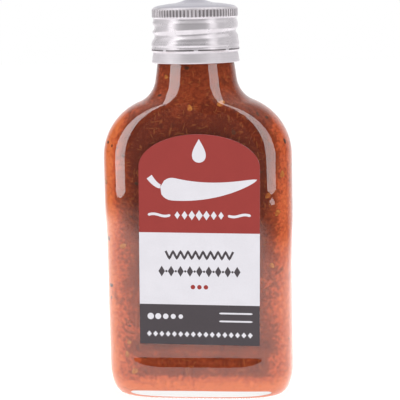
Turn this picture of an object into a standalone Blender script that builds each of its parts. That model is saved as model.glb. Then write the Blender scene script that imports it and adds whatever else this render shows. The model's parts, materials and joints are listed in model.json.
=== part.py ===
"""Hot sauce bottle: a flat clear-glass flask of 100 ml with a rolled-on aluminium cap.

Millimetres are turned into Blender's metres by MM. The bottle stands on z = 0 with its middle on the
Z axis, +Z points up out of the neck, and the front label faces -Y.
"""

import math

import bmesh
import bpy
import numpy as np

MM = 0.001

# Flask
BODY_HALF_WIDTH = 30.9
BODY_HALF_DEPTH = 15.0
BODY_SQUARENESS = 5.2          # exponent of the section across its width: 2 is an ellipse
SIDE_SQUARENESS = 2.2          # the same exponent through its depth
SQUARENESS_RISE = 1.3          # how late, up the shoulder, the section turns round
DEPTH_RISE = 0.8               # how fast the body's depth narrows to the neck's
HEEL_WIDTH = 3.1
HEEL_HEIGHT = 8.6
HEEL_FULLNESS = 1.7            # exponent of the heel's profile: 2 is a quarter of an ellipse
SHOULDER_START_Z = 78.5
SHOULDER_RADIUS = 19.5
WAIST_RADIUS = 8.9
NECK_RADIUS = 12.5             # at the cap's lower edge
NECK_TAPER = 0.14              # millimetres that the neck's radius grows for each millimetre down
GLASS_TOP_Z = 125.6
LIP_ROUNDING = 1.2

# Flat panels for labels, front and back
PANEL_DEPTH = 1.0
PANEL_LEDGE_LOW_Z = 10.5
PANEL_LEDGE_HIGH_Z = 14.4

# Glass walls
WALL = 2.55
NECK_WALL = 2.9
FLOOR_THICKNESS = 2.6
FLOOR_CORNER = 6.0
PUSH_UP = 1.0                  # how far the underside's middle is pushed up
BEARING_RING = 0.82            # the flat ring of the underside runs from this share of its size outwards
UNDERSIDE_CURVE = ((0.25, 0.93), (0.5, 0.72), (0.7, 0.35), (BEARING_RING, 0.0))  # share of size, of push-up

# Sauce and label
GAP = 0.3                      # clear space between pieces that touch on the real bottle
SAUCE_TOP_Z = 112.0
LABEL_HALF_WIDTH = 19.45
LABEL_LOW_Z = 18.5
LABEL_SIDE_TOP_Z = 76.3
LABEL_TOP_Z = 87.0
LABEL_OFFSET = 1.4             # the label is glued on by hand: a little to the right of the middle
LABEL_TILT = 0.95              # and turned clockwise by so many degrees
LABEL_PIVOT_Z = 50.0
LABEL_THICKNESS = 0.25

# Cap
CAP_LOW_Z = 109.2
CAP_TOP_Z = 129.6
CROWN_CURVE = ((0.0, 0.0), (2.6, 0.15), (4.0, 0.65), (5.6, 1.18), (8.2, 1.5), (12.0, 2.12), (13.2, 2.5),
               (13.7, 2.95))   # radius, and drop below the top, from the middle out to the rim
CAP_INNER_RADIUS = 12.85
CEILING_DROP = 3.3             # from the top down to the flat ceiling inside
CEILING_CHAMFER = 0.4
BAND_INNER_RADIUS = 13.4
BAND_INNER_TOP_Z = 114.6       # above it the inside narrows
NARROWED_Z = 116.0
KNURL_RADIUS = 13.95
KNURL_LOW_Z = 123.8
KNURL_HIGH_Z = 126.3
KNURL_RIBS = 72
KNURL_DEPTH = 0.28
KNURL_GROOVE_SHARE = 0.6       # how much of the space from rib to rib the groove takes
NECK_IN_CURVE = ((13.45, 0.35), (13.4, 0.65), (13.62, 1.3))    # radius, and drop below the knurl
SLIT_Z = 113.45
SLIT_HEIGHT = 0.4
SLIT_BRIDGES = 8
BRIDGE_WIDTH = 1.3
FIRST_BRIDGE = 0.15            # its place, in spaces from bridge to bridge, counted from +X
THREAD_START_Z = 117.2         # middle of the rolled groove where it starts, behind on the left
THREAD_START_TURN = 0.35       # in turns from +X, counted towards +Y
THREAD_TURNS = 1.32
THREAD_PITCH = 2.9
THREAD_DEPTH = 0.75
THREAD_WIDTH = 3.3
THREAD_TOP_Z = 121.9           # the smooth metal that the groove is rolled into
THREAD_LOW_Z = 116.3
THREADED_RADIUS = 13.9
BELLY_CURVE = ((14.28, 1.7), (14.06, 0.85), (14.3, 0.35), (14.3, -0.1), (13.76, -0.95))  # radius, rise from slit
BAND_CURVE = ((13.95, 2.3), (14.04, 1.5), (14.24, 0.55), (14.1, 0.0))   # radius, rise from the lower edge
THREAD_FADE = 0.14             # turns over which each end of the groove fades out
CUTTER_REACH = 0.6             # how far a cutter stands clear of the metal that it cuts

# Fineness of the meshes
SECTION_POINTS = 52
CAP_STEPS = 60
SHOULDER_STEPS = 9
WAIST_STEPS = 6
THREAD_ROWS = 10
SLIT_STEPS = 9


def clear_scene():
    """Remove what a new Blender file holds."""
    for item in list(bpy.data.objects):
        bpy.data.objects.remove(item, do_unlink=True)


def make_collection(name, hidden=False):
    collection = bpy.data.collections.new(name)
    bpy.context.scene.collection.children.link(collection)
    collection.hide_render = hidden
    return collection


def make_material(name, colour, roughness, metallic=0.0, transmission=0.0, ior=1.45):
    """A Principled material, with the colour as linear red, green and blue."""
    material = bpy.data.materials.new(name)
    material.use_nodes = True
    shader = material.node_tree.nodes["Principled BSDF"]
    shader.inputs["Base Color"].default_value = (*colour, 1.0)
    shader.inputs["Roughness"].default_value = roughness
    shader.inputs["Metallic"].default_value = metallic
    shader.inputs["Transmission Weight"].default_value = transmission
    shader.inputs["IOR"].default_value = ior
    material.diffuse_color = (*colour, 1.0)
    return material


def add_mesh(name, vertices, faces, collection, material=None):
    """A new object from vertices in millimetres."""
    mesh = bpy.data.meshes.new(name)
    mesh.from_pydata([tuple(MM * c for c in v) for v in vertices], [], faces)
    mesh.validate()
    item = bpy.data.objects.new(name, mesh)
    collection.objects.link(item)
    if material is not None:
        mesh.materials.append(material)
    return item


def face_outwards(mesh):
    shape = bmesh.new()
    shape.from_mesh(mesh)
    bmesh.ops.recalc_face_normals(shape, faces=shape.faces)
    shape.to_mesh(mesh)
    shape.free()


def shade(item, angle_degrees=35.0):
    """Smooth shading that keeps the edges that turn by more than the angle."""
    item.data.shade_smooth()
    item.data.set_sharp_from_angle(angle=math.radians(angle_degrees))


def neck_radius(z):
    return NECK_RADIUS + NECK_TAPER * max(0.0, CAP_LOW_Z - z)


def waist_centre():
    """Centre, as radius and height, of the hollow arc that joins the shoulder's arc to the neck's slope."""
    length = math.hypot(1.0, NECK_TAPER)
    outward = np.array([1.0, NECK_TAPER]) / length
    upward = np.array([-NECK_TAPER, 1.0]) / length
    start = np.array([NECK_RADIUS, CAP_LOW_Z]) + WAIST_RADIUS * outward
    shoulder = np.array([BODY_HALF_WIDTH - SHOULDER_RADIUS, SHOULDER_START_Z])
    offset = start - shoulder
    along = offset @ upward
    reach = SHOULDER_RADIUS + WAIST_RADIUS
    step = -along + math.sqrt(along**2 - offset @ offset + reach**2)
    return start + step * upward


def shoulder_heights():
    """Half width and height of the points along the shoulder's arc, the waist's arc and the neck's slope."""
    shoulder = np.array([BODY_HALF_WIDTH - SHOULDER_RADIUS, SHOULDER_START_Z])
    waist = waist_centre()
    meet = math.atan2(waist[1] - shoulder[1], waist[0] - shoulder[0])
    points = []
    for angle in np.linspace(0.0, meet, SHOULDER_STEPS):
        points.append(shoulder + SHOULDER_RADIUS * np.array([math.cos(angle), math.sin(angle)]))
    neck_angle = math.pi + math.atan(NECK_TAPER)
    for angle in np.linspace(meet + math.pi, neck_angle, WAIST_STEPS)[1:]:
        points.append(waist + WAIST_RADIUS * np.array([math.cos(angle), math.sin(angle)]))
    return [tuple(point) for point in points]


def body_share(half_width):
    """0 where the section is the neck's circle, 1 where it is the body's full section."""
    return min(1.0, max(0.0, (half_width - NECK_RADIUS) / (BODY_HALF_WIDTH - NECK_RADIUS)))


def half_depth_for(half_width, z):
    """Half the depth of the section above the heel: the neck's circle widens to the body's depth."""
    round_part = min(half_width, neck_radius(z))
    return round_part + (BODY_HALF_DEPTH - round_part) * body_share(half_width) ** DEPTH_RISE


def panel_depth_at(z):
    """How far the flat panels lie inside the body's depth: nothing below the ledge, all of it above."""
    rise = (z - PANEL_LEDGE_LOW_Z) / (PANEL_LEDGE_HIGH_Z - PANEL_LEDGE_LOW_Z)
    rise = min(1.0, max(0.0, rise))
    return PANEL_DEPTH * rise * rise * (3.0 - 2.0 * rise)


def section(half_width, half_depth, z, flat_at=None):
    """Points of a rounded, slightly barrel-shaped section, cut flat in front and behind at flat_at."""
    share = body_share(half_width)
    across = 2.0 / (2.0 + (BODY_SQUARENESS - 2.0) * share**SQUARENESS_RISE)
    through = 2.0 / (2.0 + (SIDE_SQUARENESS - 2.0) * share)
    points = []
    for turn in np.arange(SECTION_POINTS) * 2.0 * math.pi / SECTION_POINTS:
        c, s = math.cos(turn), math.sin(turn)
        x = math.copysign(half_width * abs(c) ** across, c)
        y = math.copysign(half_depth * abs(s) ** through, s)
        if flat_at is not None:
            y = math.copysign(min(abs(y), flat_at), y)
        points.append((x, y, z))
    return points


def heel_inset(z):
    """How far the heel lies inside the wall: a quarter of a slightly hollowed ellipse."""
    drop = max(0.0, HEEL_HEIGHT - z) / HEEL_HEIGHT
    return HEEL_WIDTH * (1.0 - (1.0 - drop**HEEL_FULLNESS) ** (1.0 / HEEL_FULLNESS))


def outer_sections():
    """Sections of the glass from the underside's ring up to the lip, with the flat panels."""
    sections = []
    flat = BODY_HALF_DEPTH
    for share in (0.0, 0.05, 0.16, 0.36, 0.64, 1.0):
        z = HEEL_HEIGHT * share
        inset = heel_inset(z)
        sections.append(section(BODY_HALF_WIDTH - inset, BODY_HALF_DEPTH - inset, z, flat))
    ledge = PANEL_LEDGE_HIGH_Z - PANEL_LEDGE_LOW_Z
    for share in (0.25, 0.5, 0.75, 1.0):
        z = PANEL_LEDGE_LOW_Z + share * ledge
        sections.append(section(BODY_HALF_WIDTH, BODY_HALF_DEPTH, z, flat - panel_depth_at(z)))
    for half_width, z in shoulder_heights():
        half_depth = half_depth_for(half_width, z)
        sections.append(section(half_width, half_depth, z, flat - PANEL_DEPTH))
    for z, inset in ((CAP_LOW_Z, 0.0), (GLASS_TOP_Z - LIP_ROUNDING, 0.0), (GLASS_TOP_Z, LIP_ROUNDING)):
        sections.append(section(NECK_RADIUS - inset, NECK_RADIUS - inset, z))
    return sections


def inner_size(half_width, z):
    """Half width and half depth of the hollow where the glass outside has the given half width."""
    share = body_share(half_width)
    wall = NECK_WALL + (WALL - NECK_WALL) * share
    half_depth = half_depth_for(half_width, z) - PANEL_DEPTH * share
    return half_width - wall, half_depth - wall


def inner_sections(clear=0.0, top_z=GLASS_TOP_Z):
    """Sections of the hollow from its floor up, made smaller all round by clear."""
    sections = []
    half_width, half_depth = inner_size(BODY_HALF_WIDTH, FLOOR_THICKNESS)
    for angle in np.radians([0.0, 25.0, 50.0, 72.0, 90.0]):
        inset = FLOOR_CORNER * (1.0 - math.sin(angle)) + clear
        z = FLOOR_THICKNESS + clear + (FLOOR_CORNER - clear) * (1.0 - math.cos(angle))
        sections.append(section(half_width - inset, half_depth - inset, z))
    for outer_half_width, z in shoulder_heights():
        half_width, half_depth = inner_size(outer_half_width, z)
        sections.append(section(half_width - clear, half_depth - clear, z))
    bore = NECK_RADIUS - NECK_WALL - clear
    for z in (CAP_LOW_Z, top_z):
        sections.append(section(bore, bore, z))
    return sections


def scaled_section(points, share, z):
    return [(x * share, y * share, z) for x, y, _ in points]


def skin(sections, first_point, last_point):
    """Vertices and faces of the loft through the sections, closed by a fan at each end."""
    count = SECTION_POINTS
    vertices = [first_point]
    for points in sections:
        vertices.extend(points)
    vertices.append(last_point)
    last = len(vertices) - 1
    faces = []
    for i in range(count):
        faces.append((0, 1 + (i + 1) % count, 1 + i))
    for row in range(len(sections) - 1):
        low = 1 + row * count
        high = low + count
        for i in range(count):
            j = (i + 1) % count
            faces.append((low + i, low + j, high + j, high + i))
    top = 1 + (len(sections) - 1) * count
    for i in range(count):
        faces.append((top + i, top + (i + 1) % count, last))
    return vertices, faces


def make_bottle(collection, material):
    """The glass: a loft up the outside, over the lip and down the inside to the hollow's floor."""
    outside = outer_sections()
    ring = outside[0]
    underside = []
    for share, rise in UNDERSIDE_CURVE:
        underside.append(scaled_section(ring, share, PUSH_UP * rise))
    inside = inner_sections()
    inside.reverse()
    middle = scaled_section(inside[-1], 0.4, FLOOR_THICKNESS)
    sections = underside + outside + inside + [middle]
    vertices, faces = skin(sections, (0.0, 0.0, PUSH_UP), (0.0, 0.0, FLOOR_THICKNESS))
    bottle = add_mesh("bottle", vertices, faces, collection, material)
    face_outwards(bottle.data)
    shade(bottle)
    return bottle


def make_sauce(collection, material):
    """The sauce: the hollow's own form up to the level, a small gap clear of the glass."""
    sections = inner_sections(GAP, SAUCE_TOP_Z)
    low_z = sections[0][0][2]
    vertices, faces = skin(sections, (0.0, 0.0, low_z), (0.0, 0.0, SAUCE_TOP_Z))
    sauce = add_mesh("sauce", vertices, faces, collection, material)
    face_outwards(sauce.data)
    shade(sauce)
    return sauce


def label_outline():
    """Points across and up: straight sides, square lower corners and half an ellipse on top."""
    points = [(-LABEL_HALF_WIDTH, LABEL_LOW_Z), (LABEL_HALF_WIDTH, LABEL_LOW_Z)]
    arch_height = LABEL_TOP_Z - LABEL_SIDE_TOP_Z
    for angle in np.linspace(0.0, math.pi, 33):
        x = LABEL_HALF_WIDTH * math.cos(angle)
        points.append((x, LABEL_SIDE_TOP_Z + arch_height * math.sin(angle)))
    return points


def as_glued(x, z):
    """Where a point of the label lies on the panel: shifted sideways and turned clockwise."""
    c, s = math.cos(math.radians(LABEL_TILT)), math.sin(math.radians(LABEL_TILT))
    up = z - LABEL_PIVOT_Z
    return LABEL_OFFSET + x * c + up * s, LABEL_PIVOT_Z - x * s + up * c


def make_label(collection, material):
    """The paper label: a flat outline that stands just in front of the flat panel."""
    outline = [as_glued(x, z) for x, z in label_outline()]
    curve = bpy.data.curves.new("label", "CURVE")
    curve.dimensions = "2D"
    curve.fill_mode = "BOTH"
    curve.extrude = 0.5 * LABEL_THICKNESS * MM
    spline = curve.splines.new("POLY")
    spline.points.add(len(outline) - 1)
    for point, (x, z) in zip(spline.points, outline):
        point.co = (x * MM, z * MM, 0.0, 1.0)
    spline.use_cyclic_u = True
    curve.materials.append(material)
    label = bpy.data.objects.new("label", curve)
    collection.objects.link(label)
    panel = BODY_HALF_DEPTH - PANEL_DEPTH
    label.location = (0.0, -(panel + GAP + 0.5 * LABEL_THICKNESS) * MM, 0.0)
    label.rotation_euler = (math.radians(90.0), 0.0, 0.0)
    return label


def cap_profile():
    """Radius and height down the cap's outside, round its lower edge and up its inside."""
    crown = [(radius, CAP_TOP_Z - drop) for radius, drop in CROWN_CURVE]
    grip = [(KNURL_RADIUS, KNURL_HIGH_Z), (KNURL_RADIUS, KNURL_LOW_Z)]
    neck_in = [(radius, KNURL_LOW_Z - drop) for radius, drop in NECK_IN_CURVE]
    thread = [(THREADED_RADIUS, z) for z in np.linspace(THREAD_TOP_Z, THREAD_LOW_Z, THREAD_ROWS)]
    belly = [(radius, SLIT_Z + rise) for radius, rise in BELLY_CURVE]
    band = [(radius, CAP_LOW_Z + rise) for radius, rise in BAND_CURVE]
    inside = [(BAND_INNER_RADIUS, CAP_LOW_Z), (BAND_INNER_RADIUS, BAND_INNER_TOP_Z)]
    ceiling = CAP_TOP_Z - CEILING_DROP
    narrow = [(CAP_INNER_RADIUS, NARROWED_Z), (CAP_INNER_RADIUS, ceiling - CEILING_CHAMFER)]
    flat = [(CAP_INNER_RADIUS - CEILING_CHAMFER, ceiling), (0.0, ceiling)]
    return crown + grip + neck_in + thread + belly + band + inside + narrow + flat


def thread_depth(turn, z):
    """Depth of the rolled groove at a turn and height: a right-handed helix that fades at both ends."""
    deepest = 0.0
    since_start = (turn - THREAD_START_TURN) % 1.0
    while since_start <= THREAD_TURNS:
        middle_z = THREAD_START_Z + THREAD_PITCH * since_start
        away = abs(z - middle_z) / (0.5 * THREAD_WIDTH)
        if away < 1.0:
            left = min(since_start, THREAD_TURNS - since_start) / THREAD_FADE
            fade = math.sin(0.5 * math.pi * min(1.0, left)) ** 2
            deepest = max(deepest, THREAD_DEPTH * fade * math.cos(0.5 * math.pi * away) ** 2)
        since_start += 1.0
    return deepest


def turned_mesh(name, profile, steps):
    """The profile turned once round Z, as a mesh."""
    guide = add_mesh(name, [(r, 0.0, z) for r, z in profile], [], bpy.context.scene.collection)
    shape = bmesh.new()
    shape.from_mesh(guide.data)
    shape.verts.ensure_lookup_table()
    for i in range(len(profile) - 1):
        shape.edges.new((shape.verts[i], shape.verts[i + 1]))
    shape.to_mesh(guide.data)
    shape.free()
    screw = guide.modifiers.new("turn", "SCREW")
    screw.steps = steps
    screw.render_steps = steps
    screw.use_merge_vertices = True
    screw.merge_threshold = 0.00001
    evaluated = guide.evaluated_get(bpy.context.evaluated_depsgraph_get())
    mesh = bpy.data.meshes.new_from_object(evaluated)
    bpy.data.objects.remove(guide, do_unlink=True)
    return mesh


def add_knurl_cutter(collection):
    """Upright grooves between the ribs of the knurled grip, as one cutter of many prisms."""
    vertices, faces = [], []
    half = KNURL_GROOVE_SHARE * math.pi * KNURL_RADIUS / KNURL_RIBS
    outside = KNURL_RADIUS + CUTTER_REACH
    low, high = KNURL_LOW_Z + 0.15, KNURL_HIGH_Z - 0.1
    for rib in range(KNURL_RIBS):
        angle = 2.0 * math.pi * (rib + 0.5) / KNURL_RIBS
        out = np.array([math.cos(angle), math.sin(angle)])
        side = np.array([-math.sin(angle), math.cos(angle)])
        corners = [(KNURL_RADIUS - KNURL_DEPTH, 0.0), (outside, -half), (outside, half)]
        base = len(vertices)
        for z in (low, high):
            for radius, sideways in corners:
                x, y = out * radius + side * sideways
                vertices.append((x, y, z))
        faces.append((base, base + 2, base + 1))
        faces.append((base + 3, base + 4, base + 5))
        for i in range(3):
            j = (i + 1) % 3
            faces.append((base + i, base + j, base + 3 + j, base + 3 + i))
    return finish_cutter("knurl_cutter", vertices, faces, collection)


def add_slit_cutter(collection):
    """The tear line round the cap: curved boxes with a narrow bridge left between each two."""
    vertices, faces = [], []
    bridge = BRIDGE_WIDTH / KNURL_RADIUS
    span = 2.0 * math.pi / SLIT_BRIDGES
    for part in range(SLIT_BRIDGES):
        base = len(vertices)
        start = (part + FIRST_BRIDGE) * span + 0.5 * bridge
        for step in range(SLIT_STEPS + 1):
            angle = start + (span - bridge) * step / SLIT_STEPS
            for radius in (BAND_INNER_RADIUS - CUTTER_REACH, KNURL_RADIUS + CUTTER_REACH):
                for z in (SLIT_Z - 0.5 * SLIT_HEIGHT, SLIT_Z + 0.5 * SLIT_HEIGHT):
                    vertices.append((radius * math.cos(angle), radius * math.sin(angle), z))
        for step in range(SLIT_STEPS):
            a, b = base + 4 * step, base + 4 * step + 4
            faces.extend([(a, a + 1, b + 1, b), (a + 2, b + 2, b + 3, a + 3)])
            faces.extend([(a, b, b + 2, a + 2), (a + 1, a + 3, b + 3, b + 1)])
        end = base + 4 * SLIT_STEPS
        faces.extend([(base, base + 2, base + 3, base + 1), (end, end + 1, end + 3, end + 2)])
    return finish_cutter("slit_cutter", vertices, faces, collection)


def finish_cutter(name, vertices, faces, collection):
    cutter = add_mesh(name, vertices, faces, collection)
    face_outwards(cutter.data)
    cutter.hide_render = True
    cutter.display_type = "WIRE"
    return cutter


def cut(item, cutter):
    boolean = item.modifiers.new(cutter.name, "BOOLEAN")
    boolean.operation = "DIFFERENCE"
    boolean.object = cutter


def make_cap(collection, cutters, material):
    """The aluminium cap: turned, then rolled into the thread, knurled and slit along its tear line."""
    mesh = turned_mesh("cap", cap_profile(), CAP_STEPS)
    for vertex in mesh.vertices:
        x, y, z = (c / MM for c in vertex.co)
        radius = math.hypot(x, y)
        if radius > CAP_INNER_RADIUS + 0.1:
            pressed = (radius - thread_depth(math.atan2(y, x) / (2.0 * math.pi), z)) / radius
            vertex.co.x *= pressed
            vertex.co.y *= pressed
    face_outwards(mesh)
    mesh.materials.append(material)
    cap = bpy.data.objects.new("cap", mesh)
    collection.objects.link(cap)
    shade(cap)
    cut(cap, add_knurl_cutter(cutters))
    cut(cap, add_slit_cutter(cutters))
    return cap


def main():
    clear_scene()
    parts = make_collection("hot_sauce_bottle")
    cutters = make_collection("cutters", hidden=True)
    glass = make_material("clear_glass", (0.95, 0.96, 0.95), 0.02, transmission=1.0, ior=1.52)
    chilli = make_material("chilli_sauce", (0.24, 0.045, 0.02), 0.35)
    paper = make_material("label_paper", (0.38, 0.045, 0.05), 0.6)
    aluminium = make_material("cap_aluminium", (0.82, 0.81, 0.82), 0.3, metallic=1.0)
    make_bottle(parts, glass)
    make_sauce(parts, chilli)
    make_label(parts, paper)
    make_cap(parts, cutters, aluminium)


main()
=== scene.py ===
"""Looks of a flat glass flask of chilli sauce, built round the packed model of its solids.

All sizes are in metres. The flask stands on z = 0 with its neck along +Z and its label towards -Y.
"""

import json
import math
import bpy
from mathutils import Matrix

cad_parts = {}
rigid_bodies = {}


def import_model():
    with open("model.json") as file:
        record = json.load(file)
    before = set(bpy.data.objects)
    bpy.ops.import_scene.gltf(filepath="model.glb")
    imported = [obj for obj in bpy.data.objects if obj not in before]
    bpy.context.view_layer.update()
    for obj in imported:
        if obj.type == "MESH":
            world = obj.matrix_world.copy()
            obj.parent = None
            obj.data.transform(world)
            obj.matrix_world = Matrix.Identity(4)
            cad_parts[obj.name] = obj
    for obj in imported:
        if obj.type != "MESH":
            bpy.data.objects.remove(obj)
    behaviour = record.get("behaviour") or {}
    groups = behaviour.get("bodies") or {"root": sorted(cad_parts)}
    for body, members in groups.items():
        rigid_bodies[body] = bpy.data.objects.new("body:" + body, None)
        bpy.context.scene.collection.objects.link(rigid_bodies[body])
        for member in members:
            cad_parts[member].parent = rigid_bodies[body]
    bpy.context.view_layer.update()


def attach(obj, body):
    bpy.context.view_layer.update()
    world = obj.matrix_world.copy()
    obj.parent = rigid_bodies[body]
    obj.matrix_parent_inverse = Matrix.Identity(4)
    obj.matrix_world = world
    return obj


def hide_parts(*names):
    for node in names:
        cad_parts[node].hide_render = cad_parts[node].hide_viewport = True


bl_info = {
    "name": "Hot Sauce Bottle",
    "version": (1, 0, 0),
    "blender": (4, 5, 0),
    "location": "View3D > Sidebar > Bottle",
    "description": "Builds the glass, sauce, label and cap of a small flask, and the stage it stands on",
    "category": "Add Mesh",
}

import bpy
import numpy as np
from bpy.props import FloatProperty, FloatVectorProperty, IntProperty, PointerProperty
from mathutils import Matrix, Vector

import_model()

MM = 0.001

# Form of the flask
BODY_SQUARENESS = 5.2
SIDE_SQUARENESS = 2.2
SQUARENESS_RISE = 1.3
DEPTH_RISE = 0.8
HEEL_WIDTH = 3.1 * MM
HEEL_HEIGHT = 8.6 * MM
HEEL_FULLNESS = 1.7
NECK_RADIUS = 12.5 * MM
NECK_TAPER = 0.14
NECK_JOIN_Z = 109.2 * MM
GLASS_TOP_Z = 125.6 * MM
LIP_ROUNDING = 1.2 * MM
LEDGE_LOW_Z = 10.5 * MM
LEDGE_HIGH_Z = 14.4 * MM
PANEL_EDGE = 0.4 * MM
NECK_WALL = 2.9 * MM
FLOOR_CORNER = 6.0 * MM
PUSH_UP = 1.0 * MM
BEARING_RING = 0.82
FLASK_COLUMNS = 208

# Form of the label, across and up before it is glued on
LABEL_HALF_WIDTH = 19.45 * MM
LABEL_LOW_Z = 18.5 * MM
DARK_FIELD_TOP_Z = 31.7 * MM
WHITE_FIELD_TOP_Z = 55.2 * MM
LABEL_SIDE_TOP_Z = 76.3 * MM
LABEL_TOP_Z = 87.0 * MM
LABEL_PIVOT_Z = 50.0 * MM
PRINT_THICKNESS = 0.012 * MM

# Form of the cap
BAND_EDGE_Z = 109.3 * MM
BAND_EDGE_RADIUS = 14.0 * MM
SKIN_LEAST_RADIUS = 13.3 * MM
KNURL_RADIUS = 13.95 * MM
KNURL_LOW_Z = 123.8 * MM
KNURL_HIGH_Z = 126.3 * MM
SLIT_Z = 113.45 * MM
BRIDGE_WIDTH = 1.3 * MM
FIRST_BRIDGE = 0.15
THREAD_START_Z = 117.2 * MM
THREAD_START_TURN = 0.35
THREAD_TURNS = 1.32
THREAD_PITCH = 2.9 * MM
THREAD_WIDTH = 3.3 * MM
THREAD_FADE = 0.14
CAP_ROW_STEP = 0.23
CAP_COLUMNS_PER_RIB = 8

# Where the sauce is darkened with painted shade: the label's painted shadow behind and round the label, and
# a band at the panel's ledge
SHADE_HALF_WIDTH = 19.5 * MM
SHADE_TOP_Z = 88.5 * MM
SHADE_LEDGE_Z = 11.2 * MM

# Small bits in the sauce
BITS_LOW_Z = 5.0 * MM
BITS_SPAN_Z = 103.0 * MM
BEAD_LENGTH = 1.4
FIBRE_SHAPE = (0.05, 1.0, 0.08)
FIBRE_BEND = 0.25

# Lesser colours
LIGHT_SPECK = (0.50, 0.19, 0.06)
DARK_SPECK = (0.05, 0.012, 0.006)
PALE_THREAD = (0.62, 0.20, 0.05)
DARK_SKIN = (0.085, 0.018, 0.008)
CAP_TOP_GREY = (0.60, 0.585, 0.66)
# Dark grey of the painted shade in the cap's tear line and between its ribs
HOLLOW_SHADE_GREY = (0.20, 0.17, 0.18)

# Gaps that keep thin layers apart
PAPER_GAP = 0.01 * MM
PRINT_GAP = 0.004 * MM
LEAST_HALF = 0.01 * MM

# Stage
STRIP_DISTANCE = 0.46
STRIP_MIDDLE_Z = 1.0
STRIP_HEIGHT = 2.0
CAP_FILL = 0.30
SHEEN_MIDDLE = (-0.07, -0.02, 0.0)
SHEEN_BRIGHT_REACH = 0.27
SHEEN_DIM_REACH = 0.42
SHEEN_LEAST = 0.12


class FlaskSettings(bpy.types.PropertyGroup):
    """Sizes and colour of the glass."""

    half_width: FloatProperty(
        name="Half width", description="Half the body's width", default=30.9 * MM, unit="LENGTH")
    half_depth: FloatProperty(
        name="Half depth", description="Half the body's depth", default=15.0 * MM, unit="LENGTH")
    shoulder_z: FloatProperty(
        name="Shoulder start", description="Height where the shoulder starts",
        default=78.5 * MM, unit="LENGTH")
    shoulder_radius: FloatProperty(
        name="Shoulder radius", description="Radius of the rounded shoulder",
        default=19.5 * MM, unit="LENGTH")
    waist_radius: FloatProperty(
        name="Waist radius", description="Radius of the hollow curve below the neck",
        default=8.9 * MM, unit="LENGTH")
    panel_depth: FloatProperty(
        name="Panel depth", description="How far the flat panels lie inside the body's depth",
        default=1.0 * MM, unit="LENGTH")
    wall: FloatProperty(
        name="Wall", description="Thickness of the glass wall", default=2.55 * MM, unit="LENGTH")
    floor: FloatProperty(
        name="Floor", description="Thickness of the glass floor", default=2.6 * MM, unit="LENGTH")
    tint: FloatVectorProperty(
        name="Tint", description="Colour of the glass", subtype="COLOR", size=3, min=0, max=1,
        default=(0.985, 0.99, 0.985))
    ior: FloatProperty(name="Refraction", description="Refractive index of the glass", default=1.52)


class SauceSettings(bpy.types.PropertyGroup):
    """Level, colours and bits of the sauce."""

    level: FloatProperty(
        name="Level", description="Height of the sauce's top", default=112.0 * MM, unit="LENGTH")
    into_glass: FloatProperty(
        name="Reach into glass", description="How far the sauce reaches into the glass wall",
        default=0.08 * MM, unit="LENGTH")
    # These colours are picked by a number of painted light and shade: warm for the painted light low in the
    # flask, bright for the painted light at the sides and foot, deep mostly for painted shade
    deep: FloatVectorProperty(
        name="Deep colour", description="Darkest red-brown of the sauce", subtype="COLOR", size=3,
        min=0, max=1, default=(0.130, 0.018, 0.006))
    middle: FloatVectorProperty(
        name="Middle colour", description="Usual red-brown of the sauce", subtype="COLOR", size=3,
        min=0, max=1, default=(0.285, 0.046, 0.014))
    warm: FloatVectorProperty(
        name="Warm colour", description="Lighter red of the sauce low in the flask", subtype="COLOR",
        size=3, min=0, max=1, default=(0.58, 0.098, 0.031))
    bright: FloatVectorProperty(
        name="Bright colour", description="Orange of thin, lit sauce", subtype="COLOR", size=3,
        min=0, max=1, default=(0.80, 0.185, 0.052))
    seeds: IntProperty(name="Seeds", description="How many chilli seeds show", default=46, min=0)
    flecks: IntProperty(name="Flecks", description="How many dark flecks show", default=64, min=0)
    fibres: IntProperty(name="Fibres", description="How many pale fibres show", default=300, min=0)
    seed_length: FloatProperty(
        name="Seed length", description="Length of a chilli seed", default=2.1 * MM, unit="LENGTH")
    random_seed: IntProperty(name="Scatter", description="Start of the random scatter", default=7)


class LabelSettings(bpy.types.PropertyGroup):
    """Place and colours of the paper label."""

    offset: FloatProperty(
        name="Offset", description="How far right of the middle the label is glued",
        default=1.4 * MM, unit="LENGTH")
    tilt: FloatProperty(
        name="Tilt", description="How far clockwise the label is turned",
        default=math.radians(0.95), unit="ROTATION")
    thickness: FloatProperty(
        name="Thickness", description="Thickness of the paper", default=0.12 * MM, unit="LENGTH")
    red: FloatVectorProperty(
        name="Red", description="Upper field", subtype="COLOR", size=3, min=0, max=1,
        default=(0.345, 0.047, 0.041))
    white: FloatVectorProperty(
        name="White", description="Middle field and light print", subtype="COLOR", size=3,
        min=0, max=1, default=(0.80, 0.78, 0.83))
    dark: FloatVectorProperty(
        name="Dark", description="Lower field and dark print", subtype="COLOR", size=3,
        min=0, max=1, default=(0.078, 0.066, 0.073))


class CapSettings(bpy.types.PropertyGroup):
    """Grip, groove and metal of the screw cap."""

    ribs: IntProperty(name="Ribs", description="Ribs of the knurled grip", default=72, min=8)
    rib_depth: FloatProperty(
        name="Rib depth", description="Depth between two ribs", default=0.3 * MM, unit="LENGTH")
    thread_depth: FloatProperty(
        name="Groove depth", description="Depth of the rolled thread groove",
        default=0.75 * MM, unit="LENGTH")
    slit_depth: FloatProperty(
        name="Slit depth", description="Depth of the tear line", default=0.42 * MM, unit="LENGTH")
    slit_height: FloatProperty(
        name="Slit height", description="Height of the tear line", default=0.42 * MM, unit="LENGTH")
    bridges: IntProperty(
        name="Bridges", description="Bridges that hold the tear band", default=8, min=2)
    metal: FloatVectorProperty(
        name="Metal", description="Colour of the aluminium", subtype="COLOR", size=3,
        min=0, max=1, default=(0.88, 0.83, 0.87))


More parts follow.
